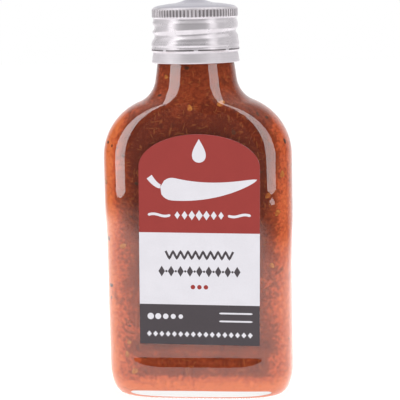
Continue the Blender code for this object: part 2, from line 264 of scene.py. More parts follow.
class StageSettings(bpy.types.PropertyGroup):
    """Camera, lights and floor."""

    distance: FloatProperty(
        name="Camera distance", description="From the neck's axis to the camera, level",
        default=454.7 * MM, unit="LENGTH")
    height: FloatProperty(
        name="Camera height", description="Above the floor", default=133.3 * MM, unit="LENGTH")
    turn: FloatProperty(
        name="Camera turn", description="How far right of the front the camera stands",
        default=math.radians(6.25), unit="ROTATION")
    pitch: FloatProperty(
        name="Camera pitch", description="How far down the camera looks",
        default=math.radians(7.37), unit="ROTATION")
    roll: FloatProperty(
        name="Camera roll", description="How far clockwise the camera is turned",
        default=math.radians(1.2), unit="ROTATION")
    lens: FloatProperty(
        name="Lens", description="Focal length in millimetres on a 36 mm sensor", default=125.6)
    strip_power: FloatProperty(
        name="Strip power", description="Power of each tall side light", default=36.0, unit="POWER")
    cap_share: FloatProperty(
        name="Cap share", description="Share of the side lights' power that reaches the cap",
        default=0.22, min=0, max=1)
    cap_sheen: FloatProperty(
        name="Cap sheen", description="How bright the floor shows in the cap", default=1.05, min=0)
    top_power: FloatProperty(
        name="Top power", description="Power of the overhead light", default=0.25, unit="POWER")


# Mesh tools


def add_piece(name, points, quads, triangles, materials, face_materials=None, sharp_degrees=40.0):
    """A new object at the origin from an array of points and arrays of corner numbers."""
    quads = np.asarray(quads, dtype=np.int64).reshape(-1, 4)
    triangles = np.asarray(triangles, dtype=np.int64).reshape(-1, 3)
    corners = np.concatenate([quads.ravel(), triangles.ravel()])
    totals = np.concatenate([np.full(len(quads), 4), np.full(len(triangles), 3)])
    starts = np.concatenate([[0], np.cumsum(totals)[:-1]])
    mesh = bpy.data.meshes.new(name)
    mesh.vertices.add(len(points))
    mesh.vertices.foreach_set("co", np.asarray(points, dtype=np.float32).ravel())
    mesh.loops.add(len(corners))
    mesh.loops.foreach_set("vertex_index", corners.astype(np.int32))
    mesh.polygons.add(len(totals))
    mesh.polygons.foreach_set("loop_start", starts.astype(np.int32))
    if face_materials is not None:
        mesh.polygons.foreach_set("material_index", np.asarray(face_materials, dtype=np.int32))
    for material in materials:
        mesh.materials.append(material)
    mesh.update(calc_edges=True)
    if mesh.validate():
        raise RuntimeError(f"{name}: the mesh had faults")
    mesh.shade_smooth()
    mesh.set_sharp_from_angle(angle=math.radians(sharp_degrees))
    piece = bpy.data.objects.new(name, mesh)
    bpy.context.scene.collection.objects.link(piece)
    return piece


def ring_quads(rows, columns):
    """Quads between each ring of a stack and the ring after it, facing outwards when rings rise."""
    row = np.arange(rows - 1)[:, None] * columns
    here = np.arange(columns)[None, :]
    there = (here + 1) % columns
    quads = np.stack([row + here, row + there, row + columns + there, row + columns + here], -1)
    return quads.reshape(-1, 4)


def end_fans(rows, columns):
    """Triangles from the end rings of a stack to the two points that follow its rings."""
    here = np.arange(columns)
    there = (here + 1) % columns
    top = (rows - 1) * columns
    low_fan = np.stack([np.full(columns, rows * columns), there, here], -1)
    high_fan = np.stack([np.full(columns, rows * columns + 1), top + here, top + there], -1)
    return np.concatenate([low_fan, high_fan])


def closed_stack(x, y, z):
    """Points, quads and triangles of a stack of rings, with a fan to the middle of each end ring."""
    rows, columns = x.shape
    rings = np.stack([x, y, z], -1).reshape(-1, 3)
    first = np.array([[0.0, 0.0, z[0].mean()]])
    last = np.array([[0.0, 0.0, z[-1].mean()]])
    return np.concatenate([rings, first, last]), ring_quads(rows, columns), end_fans(rows, columns)


def thin_solid(front, back):
    """Points and quads of a closed sheet between two equal grids, and how many quads its front has.

    The front faces -Y where the grid runs right and up.
    """
    rows, columns = front.shape[:2]
    count = rows * columns
    row = np.arange(rows - 1)[:, None] * columns
    here = np.arange(columns - 1)[None, :]
    above = row + columns
    face = np.stack([row + here, row + here + 1, above + here + 1, above + here], -1).reshape(-1, 4)
    low = np.arange(columns)
    high = low + (rows - 1) * columns
    left = np.arange(rows) * columns
    right = left + columns - 1
    rim = np.concatenate([low, right[1:], high[::-1][1:], left[::-1][1:-1]])
    ahead = np.roll(rim, -1)
    edge = np.stack([ahead, rim, rim + count, ahead + count], -1)
    points = np.concatenate([front.reshape(-1, 3), back.reshape(-1, 3)])
    return points, np.concatenate([face, face[:, ::-1] + count, edge]), len(face)


def smooth_step(value, low, high):
    """0 below low, 1 above high and 3s^2 - 2s^3 between them."""
    share = np.clip((value - low) / (high - low), 0.0, 1.0)
    return share * share * (3.0 - 2.0 * share)


def soft_min(a, b, width):
    """The smaller of two lengths, rounded over where they differ by less than width."""
    blend = np.clip(1.0 - np.abs(a - b) / width, 0.0, 1.0)
    return np.minimum(a, b) - 0.25 * width * blend * blend


# Form of the flask


def body_share(flask, half_width):
    """0 where the section is the neck's circle, 1 where it is the body's full section."""
    return np.clip((half_width - NECK_RADIUS) / (flask.half_width - NECK_RADIUS), 0.0, 1.0)


def neck_radius(z):
    """The neck's own radius, plus a set share of how far the height lies below the neck's foot."""
    return NECK_RADIUS + NECK_TAPER * np.maximum(0.0, NECK_JOIN_Z - z)


def half_depth_for(flask, half_width, z):
    """Half depth r + (b - r) s^0.8, where r is the neck's radius, b the body's half depth, s its share."""
    round_part = np.minimum(half_width, neck_radius(z))
    return round_part + (flask.half_depth - round_part) * body_share(flask, half_width) ** DEPTH_RISE


def shoulder_curve(flask, shoulder_steps, waist_steps):
    """Half widths and heights along the shoulder's arc and then the hollow arc that meets the neck.

    The hollow arc's centre lies where a circle touches both the shoulder's arc and the neck's slope.
    """
    length = math.hypot(1.0, NECK_TAPER)
    outward = np.array([1.0, NECK_TAPER]) / length
    upward = np.array([-NECK_TAPER, 1.0]) / length
    start = np.array([NECK_RADIUS, NECK_JOIN_Z]) + flask.waist_radius * outward
    shoulder = np.array([flask.half_width - flask.shoulder_radius, flask.shoulder_z])
    offset = start - shoulder
    along = offset @ upward
    reach = flask.shoulder_radius + flask.waist_radius
    waist = start + (-along + math.sqrt(along**2 - offset @ offset + reach**2)) * upward
    meet = math.atan2(waist[1] - shoulder[1], waist[0] - shoulder[0])
    first = np.linspace(0.0, meet, shoulder_steps)
    second = np.linspace(meet + math.pi, math.pi + math.atan(NECK_TAPER), waist_steps)[1:]
    a = np.concatenate([
        shoulder[0] + flask.shoulder_radius * np.cos(first),
        waist[0] + flask.waist_radius * np.cos(second)])
    z = np.concatenate([
        shoulder[1] + flask.shoulder_radius * np.sin(first),
        waist[1] + flask.waist_radius * np.sin(second)])
    return a, z


def section_rings(a, b, share, flat, columns=FLASK_COLUMNS):
    """X and Y of rings on |x/a|^p + |y/b|^q = 1, cut flat at |y| = flat with a rounded edge.

    A ring's point is k(a cos t, b sin t), and k is found for every t by Newton's steps from outside.
    """
    t = 2.0 * np.pi * (np.arange(columns) + 0.5) / columns
    a, b, share, flat = (np.asarray(v, dtype=float)[:, None] for v in (a, b, share, flat))
    p = 2.0 + (BODY_SQUARENESS - 2.0) * share**SQUARENESS_RISE
    q = 2.0 + (SIDE_SQUARENESS - 2.0) * share
    c, s = np.abs(np.cos(t))[None, :], np.abs(np.sin(t))[None, :]
    k = np.full(np.broadcast(p, c).shape, 1.5)
    for _ in range(14):
        across, through = (k * c) ** p, (k * s) ** q
        k = k - (across + through - 1.0) * k / (p * across + q * through)
    x = k * a * np.cos(t)
    y = k * b * np.abs(np.sin(t))
    y = soft_min(y, np.broadcast_to(flat, y.shape), PANEL_EDGE)
    return x, y * np.sign(np.sin(t))[None, :]


def outer_rows(flask):
    """Half width, half depth, height, share and flat of the rings up the outside of the glass."""
    size = np.linspace(0.04, 0.985, 16)
    foot_a, foot_b = flask.half_width - HEEL_WIDTH, flask.half_depth - HEEL_WIDTH
    under_z = PUSH_UP * (1.0 - smooth_step(size, 0.15, BEARING_RING))
    angle = np.linspace(0.0, 0.5 * np.pi, 18)
    heel_z = HEEL_HEIGHT * (1.0 - np.cos(angle) ** (2.0 / HEEL_FULLNESS))
    inset = HEEL_WIDTH * (1.0 - np.sin(angle) ** (2.0 / HEEL_FULLNESS))
    ledge_z = np.linspace(LEDGE_LOW_Z - 0.6 * MM, LEDGE_HIGH_Z, 18)
    body_z = np.linspace(LEDGE_HIGH_Z, flask.shoulder_z, 12)[1:-1]
    arc_a, arc_z = shoulder_curve(flask, 34, 18)
    neck_z = np.linspace(arc_z[-1], NECK_JOIN_Z, 6)[1:]
    full = np.ones(len(ledge_z) + len(body_z))
    upper_a = np.concatenate([arc_a, neck_radius(neck_z)])
    a = np.concatenate([foot_a * size, flask.half_width - inset, flask.half_width * full, upper_a])
    z = np.concatenate([under_z, heel_z, ledge_z, body_z, arc_z, neck_z])
    upper = half_depth_for(flask, upper_a, np.concatenate([arc_z, neck_z]))
    b = np.concatenate([foot_b * size, flask.half_depth - inset, flask.half_depth * full, upper])
    share = body_share(flask, a)
    share[: len(size)] = body_share(flask, foot_a)
    flat = flask.half_depth - flask.panel_depth * smooth_step(z, LEDGE_LOW_Z, LEDGE_HIGH_Z)
    flat[: len(size)] = flask.half_depth
    return a, b, z, share, flat


def hollow_rows(flask, grow=0.0):
    """The same for the hollow, from its floor up to the bore: the outside less the wall, plus grow."""
    arc_a, arc_z = shoulder_curve(flask, 34, 18)
    share = body_share(flask, arc_a)
    wall = NECK_WALL + (flask.wall - NECK_WALL) * share
    top_a = arc_a - wall + grow
    top_b = half_depth_for(flask, arc_a, arc_z) - flask.panel_depth * share - wall + grow
    full_a, full_b = top_a[0], top_b[0]
    angle = np.linspace(0.0, 0.5 * np.pi, 12)
    inset = FLOOR_CORNER * (1.0 - np.sin(angle))
    corner_z = flask.floor - grow + (FLOOR_CORNER + grow) * (1.0 - np.cos(angle))
    size = np.linspace(0.05, 0.97, 8)
    floor_a, floor_b = full_a - FLOOR_CORNER, full_b - FLOOR_CORNER
    body_z = np.linspace(corner_z[-1], arc_z[0], 14)[1:-1]
    bore = [NECK_RADIUS - NECK_WALL + grow]
    a = np.concatenate([floor_a * size, full_a - inset, np.full(len(body_z), full_a), top_a, bore])
    b = np.concatenate([floor_b * size, full_b - inset, np.full(len(body_z), full_b), top_b, bore])
    z = np.concatenate([np.full(len(size), flask.floor - grow), corner_z, body_z, arc_z, [NECK_JOIN_Z]])
    shares = body_share(flask, a)
    shares[: len(size)] = body_share(flask, floor_a)
    return a, b, z, shares


def glass_rings(flask):
    """Rings up the outside, over the lip and down the bore to the middle of the hollow's floor."""
    a, b, z, share, flat = outer_rows(flask)
    turn = np.linspace(0.0, np.pi, 13)
    lip_r = 0.5 * NECK_WALL
    lip_radius = NECK_RADIUS - lip_r + lip_r * np.cos(turn)
    lip_z = GLASS_TOP_Z - LIP_ROUNDING + LIP_ROUNDING * np.sin(turn)
    in_a, in_b, in_z, in_share = (v[::-1] for v in hollow_rows(flask))
    none = np.zeros(len(turn))
    open_flat = np.full(len(turn) + len(in_a), flask.half_depth)
    x, y = section_rings(
        np.concatenate([a, lip_radius, in_a]), np.concatenate([b, lip_radius, in_b]),
        np.concatenate([share, none, in_share]), np.concatenate([flat, open_flat]))
    z = np.concatenate([z, lip_z, in_z])[:, None] + 0.0 * x
    return x, y, z


def sauce_rings(flask, sauce, columns=FLASK_COLUMNS):
    """Rings of the hollow's own form, a little larger, from its floor up to the sauce's level."""
    a, b, z, share = hollow_rows(flask, sauce.into_glass)
    a, b, share = (np.append(v, v[-1]) for v in (a, b, share))
    z = np.append(z, sauce.level)
    x, y = section_rings(a, b, share, np.full(len(a), flask.half_depth), columns)
    return x, y, z[:, None] + 0.0 * x


def sauce_spots(flask, sauce, turn, height):
    """Points of the sauce's surface at the given turns round the axis and heights, and their normals.

    Each point is read off a fine grid of the surface. Its normal is the cross product of the steps
    to its neighbours along the ring and up the wall.
    """
    columns = 720
    x, y, z = sauce_rings(flask, sauce, columns)
    column = np.round((turn % 1.0) * columns).astype(int) % columns
    heights = np.maximum.accumulate(z[:, 0])
    row_at = np.interp(height, heights, np.arange(len(heights)))
    low = np.clip(row_at.astype(int), 1, len(heights) - 2)
    rest = (row_at - low)[:, None]
    grid = np.stack([x, y, z], -1)
    here = grid[low, column] * (1.0 - rest) + grid[low + 1, column] * rest
    along = grid[low, (column + 1) % columns] - grid[low, column - 1]
    up = grid[low + 1, column] - grid[low - 1, column]
    normal = np.cross(along, up)
    return here, normal / np.linalg.norm(normal, axis=1)[:, None]


# Materials


def new_material(name):
    """An empty node material and its tree."""
    material = bpy.data.materials.new(name)
    material.use_nodes = True
    material.node_tree.nodes.clear()
    return material, material.node_tree


def node(tree, kind, **values):
    """A new node: lower-case words set its properties, and a dictionary called inputs its sockets."""
    item = tree.nodes.new(kind)
    inputs = values.pop("inputs", {})
    for key, value in values.items():
        setattr(item, key, value)
    for key, value in inputs.items():
        value = getattr(value, "socket", value)
        if isinstance(value, bpy.types.NodeSocket):
            tree.links.new(value, item.inputs[key])
        else:
            item.inputs[key].default_value = value
    return item


def set_surface(tree, shader):
    """Join a shader, or a world's light, to the output that Blender reads."""
    kind = "World" if isinstance(shader, bpy.types.ShaderNodeBackground) else "Material"
    output = tree.nodes.new(f"ShaderNodeOutput{kind}")
    tree.links.new(shader.outputs[0], output.inputs["Surface"])


def math_node(tree, operation, *values):
    """The number that one math node gives."""
    item = node(tree, "ShaderNodeMath", operation=operation, inputs=dict(enumerate(values)))
    return Number(tree, item.outputs[0])


class Number:
    """A number worked out at each point of a surface. Plus, minus, times and abs each add a math node."""

    def __init__(self, tree, socket):
        self.tree = tree
        self.socket = socket

    def __add__(self, other):
        return math_node(self.tree, "ADD", self, other)

    def __sub__(self, other):
        return math_node(self.tree, "SUBTRACT", self, other)

    def __rsub__(self, other):
        return math_node(self.tree, "SUBTRACT", other, self)

    def __mul__(self, other):
        return math_node(self.tree, "MULTIPLY", self, other)

    def __abs__(self):
        return math_node(self.tree, "ABSOLUTE", self)


def largest(a, b):
    """The larger of two numbers at each point."""
    return math_node(a.tree, "MAXIMUM", a, b)


def spread(value, low, high, to_low=0.0, to_high=1.0):
    """A number carried from one range to another, with soft ends."""
    item = node(value.tree, "ShaderNodeMapRange", interpolation_type="SMOOTHSTEP", inputs={
        "Value": value, "From Min": low, "From Max": high, "To Min": to_low, "To Max": to_high})
    return Number(value.tree, item.outputs["Result"])


def object_place(tree):
    """The point's own place on the object, in metres."""
    return node(tree, "ShaderNodeTexCoord").outputs["Object"]


def parts_of(tree, vector):
    """The three numbers of a vector."""
    item = node(tree, "ShaderNodeSeparateXYZ", inputs={"Vector": vector})
    return [Number(tree, item.outputs[axis]) for axis in "XYZ"]


def noise(tree, place, scale, detail=3.0, roughness=0.5):
    """Fine noise of so many spots a metre, from 0 to 1."""
    item = node(tree, "ShaderNodeTexNoise", inputs={
        "Vector": place, "Scale": scale, "Detail": detail, "Roughness": roughness})
    return Number(tree, item.outputs["Fac"])


def mix_colour(share, a, b):
    """Colour a where share is 0 and colour b where it is 1."""
    a, b = (c if isinstance(c, bpy.types.NodeSocket) else (*c, 1.0) for c in (a, b))
    return node(share.tree, "ShaderNodeMix", data_type="RGBA", inputs={0: share, 6: a, 7: b}).outputs[2]


def bump(height, distance, strength=1.0):
    """Normals of a surface whose relief is height times distance."""
    item = node(height.tree, "ShaderNodeBump", inputs={
        "Height": height, "Distance": distance, "Strength": strength})
    return item.outputs["Normal"]


def glass_material(flask):
    """Clear glass with a faint waviness. Lamps and soft light pass straight through it."""
    material, tree = new_material("clear_glass")
    wave = noise(tree, object_place(tree), 55.0, 1.0)
    glass = node(tree, "ShaderNodeBsdfPrincipled", inputs={
        "Base Color": (*flask.tint, 1.0), "Roughness": 0.0, "IOR": flask.ior,
        "Transmission Weight": 1.0, "Normal": bump(wave, 0.25 * MM)})
    clear = node(tree, "ShaderNodeBsdfTransparent", inputs={"Color": (0.96, 0.965, 0.96, 1.0)})
    path = node(tree, "ShaderNodeLightPath")
    straight = math_node(tree, "MAXIMUM", path.outputs["Is Shadow Ray"], path.outputs["Is Diffuse Ray"])
    set_surface(tree, node(tree, "ShaderNodeMixShader", inputs={
        0: straight, 1: glass.outputs["BSDF"], 2: clear.outputs["BSDF"]}))
    return material


def pulp_threads(tree, place, squeeze):
    """Thin threads of pulp, drawn out along the axis whose share of squeeze is small, and bent."""
    bend = node(tree, "ShaderNodeTexNoise", inputs={"Vector": place, "Scale": 160.0, "Detail": 1.0})
    shift = node(tree, "ShaderNodeVectorMath", operation="MULTIPLY_ADD", inputs={
        0: bend.outputs["Color"], 1: (4.0 * MM, 4.0 * MM, 4.0 * MM), 2: place})
    drawn = node(tree, "ShaderNodeVectorMath", operation="MULTIPLY", inputs={
        0: shift.outputs["Vector"], 1: squeeze})
    return spread(noise(tree, drawn.outputs["Vector"], 1500.0, 1.0, 0.4), 0.64, 0.72)


def sauce_material(sauce, label):
    """Red-brown sauce: dark in its depth, orange where light shines through at the sides and the foot.

    One number, glow, is the sum of soft ramps: painted light for the sides (more on the left), the foot and
    the lower half, painted shade for the label's shadow on the sauce and at the panel's ledge, and both for
    two sizes of noise.
    It picks the colour from deep to bright. Specks, threads of pulp and bits of skin are then laid over it.
    """
    material, tree = new_material("chilli_sauce")
    place = object_place(tree)
    x, y, z = parts_of(tree, place)
    facing = abs(parts_of(tree, node(tree, "ShaderNodeTexCoord").outputs["Normal"])[1])
    cloud = noise(tree, place, 110.0, 3.0, 0.5)
    pulp = noise(tree, place, 900.0, 5.0, 0.68)
    specks = noise(tree, place, 1900.0, 2.0, 0.5)
    skins = noise(tree, place, 210.0, 2.0, 0.4)
    threads = [pulp_threads(tree, place, squeeze) for squeeze in ((1.0, 1.0, 0.16), (0.16, 1.0, 1.0))]

    # Painted light: where the surface turns away from the front the sauce is painted orange as if lit
    # through, more on the left, less at the shoulder
    edge = spread(facing, 0.98, 0.50, 0.0, 1.05) * spread(x, 0.010, -0.010, 0.50, 0.92)
    side = edge * spread(z, 0.020, 0.075, 0.62, 1.0) * spread(z, 0.104, 0.086, 0.12, 1.0)
    # Painted light at the foot, as if light came up through the glass floor
    foot = spread(z, 0.0085, 0.0030, 0.0, 0.60)
    # Painted light: the lower half is lighter, as if lit from the floor
    lower_painted_light = spread(z, 0.080, 0.020, 0.0, 0.37)

    # Painted shadow of the label on the sauce: darkest round and above it, on the front only, weaker low
    # down beside it
    beside = abs(x - label.offset) - SHADE_HALF_WIDTH
    outside = largest(largest(beside, LABEL_LOW_Z - z) * 2.2, z - SHADE_TOP_Z)
    strength = largest(spread(z, 0.045, 0.075, 0.32, 1.0), spread(z, 0.022, 0.0175))
    in_front = spread(y, 0.003, -0.005)
    label_painted_shadow = spread(outside, 0.013, 0.001, 0.0, -0.50) * in_front * strength
    # Painted shade along the panel's ledge, across the label's width
    ledge_painted_shade = spread(abs(z - SHADE_LEDGE_Z), 0.0044, 0.0024, 0.0, -0.40) * spread(beside, 0.003, -0.001)

    grain = spread(pulp, 0.32, 0.70, -0.26, 0.26) + spread(cloud, 0.3, 0.7, -0.12, 0.12)
    glow = largest(side, foot) + lower_painted_light + label_painted_shadow + ledge_painted_shade + grain
    colour = sauce.deep
    for share, over in (
            (spread(glow, -0.55, 0.16), sauce.middle),
            (spread(glow, 0.12, 0.50), sauce.warm),
            (spread(glow, 0.45, 1.0), sauce.bright),
            (spread(specks, 0.66, 0.76, 0.0, 0.30), LIGHT_SPECK),
            (spread(specks, 0.36, 0.26, 0.0, 0.45), DARK_SPECK),
            (largest(*threads) * 0.22, PALE_THREAD),
            (spread(skins, 0.66, 0.74, 0.0, 0.45), DARK_SKIN)):
        colour = mix_colour(share, colour, over)
    set_surface(tree, node(tree, "ShaderNodeBsdfPrincipled", inputs={
        "Base Color": colour, "Roughness": 0.6, "Specular IOR Level": 0.03,
        "Normal": bump(pulp, 0.2 * MM, 0.5)}))
    return material


def bit_material(name, colour, other, roughness):
    """A small solid bit of the sauce, mottled between two near colours."""
    material, tree = new_material(name)
    share = spread(noise(tree, object_place(tree), 900.0, 3.0), 0.35, 0.65)
    set_surface(tree, node(tree, "ShaderNodeBsdfPrincipled", inputs={
        "Base Color": mix_colour(share, colour, other), "Roughness": roughness,
        "Specular IOR Level": 0.03}))
    return material


def paper_material(name, colour):
    """Coated paper in one ink, a little darker in patches and along its fibres."""
    material, tree = new_material(name)
    place = object_place(tree)
    fibres = noise(tree, place, 2600.0, 3.0, 0.6)
    patches = noise(tree, place, 160.0, 3.0, 0.5)
    shade = spread(fibres, 0.3, 0.7, 0.0, 0.4) + spread(patches, 0.3, 0.7, 0.0, 0.5)
    set_surface(tree, node(tree, "ShaderNodeBsdfPrincipled", inputs={
        "Base Color": mix_colour(shade, colour, [0.93 * c for c in colour]), "Roughness": 0.7,
        "Specular IOR Level": 0.12, "Normal": bump(fibres, 0.03 * MM, 0.6)}))
    return material


def metal_material(cap):
    """Bright aluminium with fine turned lines that run round the cap, and faint rubbed patches.

    The cap's top is greyer, the tear band is duller, and the tear line and the gaps between ribs are
    darkened with painted shade.
    """
    material, tree = new_material("rolled_aluminium")
    place = object_place(tree)
    x, y, z = parts_of(tree, place)
    radius = math_node(tree, "SQRT", x * x + y * y)
    ring = node(tree, "ShaderNodeCombineXYZ", inputs={"X": radius, "Z": z}).outputs[0]
    lines = noise(tree, ring, 5200.0, 2.0, 0.6)
    patches = noise(tree, place, 240.0, 4.0, 0.55)
    shade = spread(lines, 0.3, 0.75, 0.0, 0.35) + spread(patches, 0.4, 0.75, 0.0, 0.35)
    side = mix_colour(shade, cap.metal, [0.80 * c for c in cap.metal])
    topped = mix_colour(spread(z, 0.1266, 0.1273, 0.0, 0.9), side, CAP_TOP_GREY)
    knurl_z = 0.5 * (KNURL_LOW_Z + KNURL_HIGH_Z)
    # Painted shade: the tear line and the gaps between the ribs are mixed towards a dark grey
    painted_hollow_shade = [
        math_node(tree, "COMPARE", z, middle, reach) * spread(radius, rim, rim - 0.18 * MM, 0.0, 0.8)
        for middle, reach, rim in (
            (SLIT_Z, 0.3 * MM, 14.18 * MM), (knurl_z, 1.15 * MM, 13.88 * MM))]
    rough = (spread(patches, 0.3, 0.7, 0.24, 0.33) + spread(lines, 0.3, 0.7, 0.0, 0.06)
             + spread(z, 0.1131, 0.1127, 0.0, 0.2))
    set_surface(tree, node(tree, "ShaderNodeBsdfPrincipled", inputs={
        "Base Color": mix_colour(largest(*painted_hollow_shade), topped, HOLLOW_SHADE_GREY), "Metallic": 0.7,
        "Specular IOR Level": 0.2, "Roughness": rough, "Normal": bump(lines, 0.01 * MM, 0.5)}))
    return material


# Pieces


def scattered(shape, places, normals, turns, sizes):
    """Copies of one small closed shape, each turned about its place's normal and scaled.

    A copy's point is place + size (u side + v along + w normal), where side and along span the surface.
    """
    helper = np.where(np.abs(normals[:, 2:3]) > 0.9, [[1.0, 0.0, 0.0]], [[0.0, 0.0, 1.0]])
    level = np.cross(helper, normals)
    level /= np.linalg.norm(level, axis=1)[:, None]
    rising = np.cross(normals, level)
    c, s = np.cos(turns)[:, None], np.sin(turns)[:, None]
    side, along = level * c + rising * s, rising * c - level * s
    spots = shape[None, :, :] * sizes[:, None, None]
    return (places[:, None, :] + spots[..., 0:1] * side[:, None, :] + spots[..., 1:2] * along[:, None, :]
            + spots[..., 2:3] * normals[:, None, :])


def bead(rows, columns, taper, flatness):
    """A pointed bead along v: half width sin(s) (1 - taper cos(s)) and thickness flatness times that."""
    s = np.linspace(0.0, np.pi, rows + 2)[1:-1]
    t = 2.0 * np.pi * np.arange(columns) / columns
    half = 0.5 * np.sin(s) * (1.0 - taper * np.cos(s))
    u = half[:, None] * np.cos(t)[None, :]
    w = flatness * half[:, None] * np.sin(t)[None, :]
    v = -0.5 * BEAD_LENGTH * np.cos(s)[:, None] + 0.0 * u
    return np.stack([u, w, v], -1)


def scatter_piece(name, grid, copies, material):
    """One mesh of many closed copies of a ring stack, with its two ends fanned."""
    rows, columns = grid.shape[:2]
    shift = (np.arange(len(copies)) * (rows * columns + 2))[:, None, None]
    quads = ring_quads(rows, columns)[None] + shift
    fans = end_fans(rows, columns)[None] + shift
    return add_piece(
        name, copies.reshape(-1, 3), quads.reshape(-1, 4), fans.reshape(-1, 3), [material])


def bead_points(grid):
    """The bead's rings as points in surface axes (side, along, out), with its two tips."""
    rings = grid.reshape(-1, 3)[:, [0, 2, 1]]
    tips = np.array([[0.0, -0.72, 0.0], [0.0, 0.72, 0.0]])
    return np.concatenate([rings, tips])


def glued(label, u, w):
    """Where a point of the flat label lies on the panel: shifted right and turned clockwise."""
    c, s = math.cos(label.tilt), math.sin(label.tilt)
    up = w - LABEL_PIVOT_Z
    return label.offset + u * c + up * s, LABEL_PIVOT_Z - u * s + up * c


def on_label(flask, label, u, w, lift):
    """Points of the label's plane, lift in front of the glass panel."""
    x, z = glued(label, u, w)
    panel = flask.half_depth - flask.panel_depth
    return np.stack([x, np.full_like(x, -(panel + lift)), z], -1)


def label_grid():
    """Across and up on a grid: columns close up towards the sides, and the top row is half an ellipse.

    The fields' edges are rows of their own. In the upper field a row's height is a share of the way
    from the field's lower edge to the arch.
    """
    angle = np.linspace(-0.5 * np.pi, 0.5 * np.pi, 81)
    u = LABEL_HALF_WIDTH * np.sin(angle)
    arch = LABEL_SIDE_TOP_Z + (LABEL_TOP_Z - LABEL_SIDE_TOP_Z) * np.cos(angle)
    dark = np.linspace(LABEL_LOW_Z, DARK_FIELD_TOP_Z, 9)
    white = np.linspace(DARK_FIELD_TOP_Z, WHITE_FIELD_TOP_Z, 15)[1:]
    share = np.linspace(0.0, 1.0, 21)[1:, None]
    red = WHITE_FIELD_TOP_Z + share * (arch[None, :] - WHITE_FIELD_TOP_Z)
    w = np.concatenate([np.repeat(np.concatenate([dark, white])[:, None], len(u), 1), red])
    return np.repeat(u[None, :], len(w), 0), w, (len(dark) - 1, len(white), len(share))


def ribbon(path, half_width):
    """A flat strip along a path of points: each row is the path's point plus and minus its side step."""
    step = np.gradient(path, axis=0)
    side = np.stack([step[:, 1], -step[:, 0]], -1) / np.linalg.norm(step, axis=1)[:, None]
    offset = side * np.asarray(half_width)[:, None]
    return np.stack([path - offset, path + offset], 1)


def chilli_ribbons(centre, length, curl, steps=40):
    """A plain chilli lying on its side: the pod and its stem, as ribbons.

    The pod follows a shallow arc, and its half width falls from the shoulder to the tip.
    """
    s = np.linspace(0.0, 1.0, steps)
    x = centre[0] + length * (s - 0.44)
    z = centre[1] + curl * length * (s - 0.36) ** 2 - 0.02 * length
    pod_half = 0.128 * length * np.sqrt(np.clip(1.0 - (1.0 - s / 0.14).clip(0.0) ** 2, 0.0, 1.0))
    pod_half = pod_half * (1.0 - s) ** 0.62 + 0.0006 * length
    pod = ribbon(np.stack([x, z], -1), pod_half)
    q = np.linspace(0.0, 1.0, 14)
    stem_x = centre[0] + length * (-0.44 - 0.115 * q)
    stem_z = z[0] + length * (0.005 + 0.10 * q**1.6)
    stem = ribbon(np.stack([stem_x, stem_z], -1), length * (0.021 + 0.012 * q))
    return [pod, stem]


def lozenge(centre, half_length, half_height, steps=9):
    """A lozenge: a level strip whose half width rises to the middle and falls again."""
    s = np.linspace(-1.0, 1.0, steps)
    path = np.stack([centre[0] + half_length * s, np.full(steps, centre[1])], -1)
    return ribbon(path, half_height * (1.0 - np.abs(s)) + LEAST_HALF)


def disc(centre, radius, steps=17):
    """A round dot: a level strip whose half width is the circle's."""
    s = -np.cos(np.linspace(0.0, np.pi, steps))
    path = np.stack([centre[0] + radius * s, np.full(steps, centre[1])], -1)
    return ribbon(path, radius * np.sqrt(np.clip(1.0 - s * s, 0.0, 1.0)) + LEAST_HALF)


def bar(start, end, half_height, rise=0.0, steps=21):
    """A straight or gently waved bar with rounded ends."""
    s = np.linspace(0.0, 1.0, steps)
    x = start[0] + (end[0] - start[0]) * s
    z = start[1] + (end[1] - start[1]) * s + rise * np.sin(2.0 * np.pi * s)
    near_end = np.minimum(s, 1.0 - s) * abs(end[0] - start[0]) / half_height
    width = half_height * np.sqrt(np.clip(1.0 - (1.0 - near_end).clip(0.0) ** 2, 0.02, 1.0))
    return ribbon(np.stack([x, z], -1), width)


def zigzag(start_x, end_x, low, high, peaks, half_width):
    """A sawtooth line from start to end, as one ribbon of straight strokes."""
    s = np.linspace(0.0, 1.0, 2 * peaks * 6 + 1)
    wave = np.abs((s * peaks) % 1.0 - 0.5) * 2.0
    path = np.stack([start_x + (end_x - start_x) * s, low + (high - low) * wave], -1)
    return ribbon(path, np.full(len(s), half_width))


def drop(centre, height, half_width, steps=25):
    """A drop with its point up: half width sin(s) sin(s/2)^1.3 along its height."""
    s = np.linspace(0.0, np.pi, steps)
    z = centre[1] + 0.5 * height * np.cos(s)
    half = half_width * 1.12 * np.sin(s) * np.sin(0.5 * s) ** 1.3 + LEAST_HALF
    return ribbon(np.stack([np.full(steps, centre[0]), z], -1), half)


def mm_pair(x, z):
    """A place on the flat label, given in millimetres across and up."""
    return x * MM, z * MM


def light_print():
    """What is printed light on the red and dark fields: a drop, a chilli, rules, lozenges and dots."""
    shapes = [drop(mm_pair(0.0, 81.7), 7.6 * MM, 2.7 * MM)]
    shapes += chilli_ribbons(mm_pair(1.2, 69.4), 31.0 * MM, 0.30)
    for side in (-1.0, 1.0):
        shapes.append(bar(mm_pair(side * 16.6, 60.9), mm_pair(side * 9.2, 60.9), 0.42 * MM, 0.35 * MM))
    for i in range(-3, 4):
        size = 1.35 - 0.12 * abs(i)
        shapes.append(lozenge(mm_pair(2.35 * i, 60.9), 0.85 * size * MM, 1.25 * size * MM))
    for i in range(5):
        shapes.append(disc(mm_pair(-15.9 + 2.45 * i, 27.7), (1.05 - 0.08 * i) * MM))
    for z in (29.0, 26.4):
        shapes.append(bar(mm_pair(6.3, z), mm_pair(17.2, z), 0.28 * MM))
    for i in range(-8, 9):
        shapes.append(lozenge(mm_pair(2.05 * i, 21.9), 0.8 * MM, 0.95 * MM))
    return shapes


